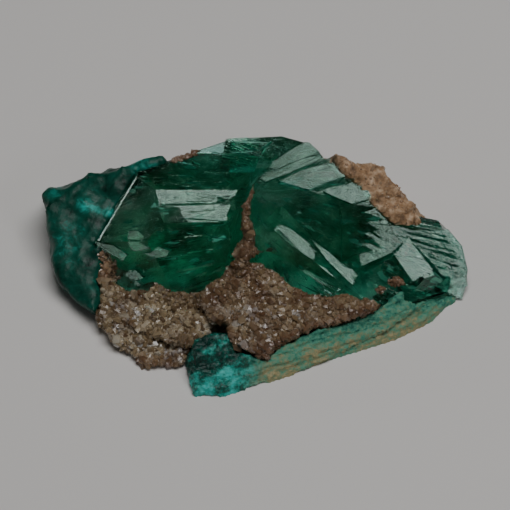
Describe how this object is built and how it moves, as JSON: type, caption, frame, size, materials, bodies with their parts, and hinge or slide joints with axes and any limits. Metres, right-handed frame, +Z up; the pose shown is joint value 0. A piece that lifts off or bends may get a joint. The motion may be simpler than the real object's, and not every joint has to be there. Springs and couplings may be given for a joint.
{
  "type": "dioptase crystal specimen",
  "caption": "Dark green, glassy dioptase crystals grown over a brown, sparkling druse matrix, with a teal crust at one end and a fibrous green vein along the foot.",
  "frame": {"origin": "middle of the flat base, on the surface that the specimen rests on", "axes": "+Z up, +X to the right along the specimen's length, the display side towards -Y and leaning back"},
  "size_m": [0.045, 0.0302, 0.0126],
  "materials": {
    "dioptase": "clear, polished growth faces",
    "matrix": "rough, sparkling",
    "crust": "rough, glossy grains",
    "vein": "silky, fibrous"
  },
  "bodies": {
    "root": {"matrix": "matrix", "crystals": "dioptase", "teal_crust": "crust", "foot_vein": "vein"}
  },
  "joints": []
}
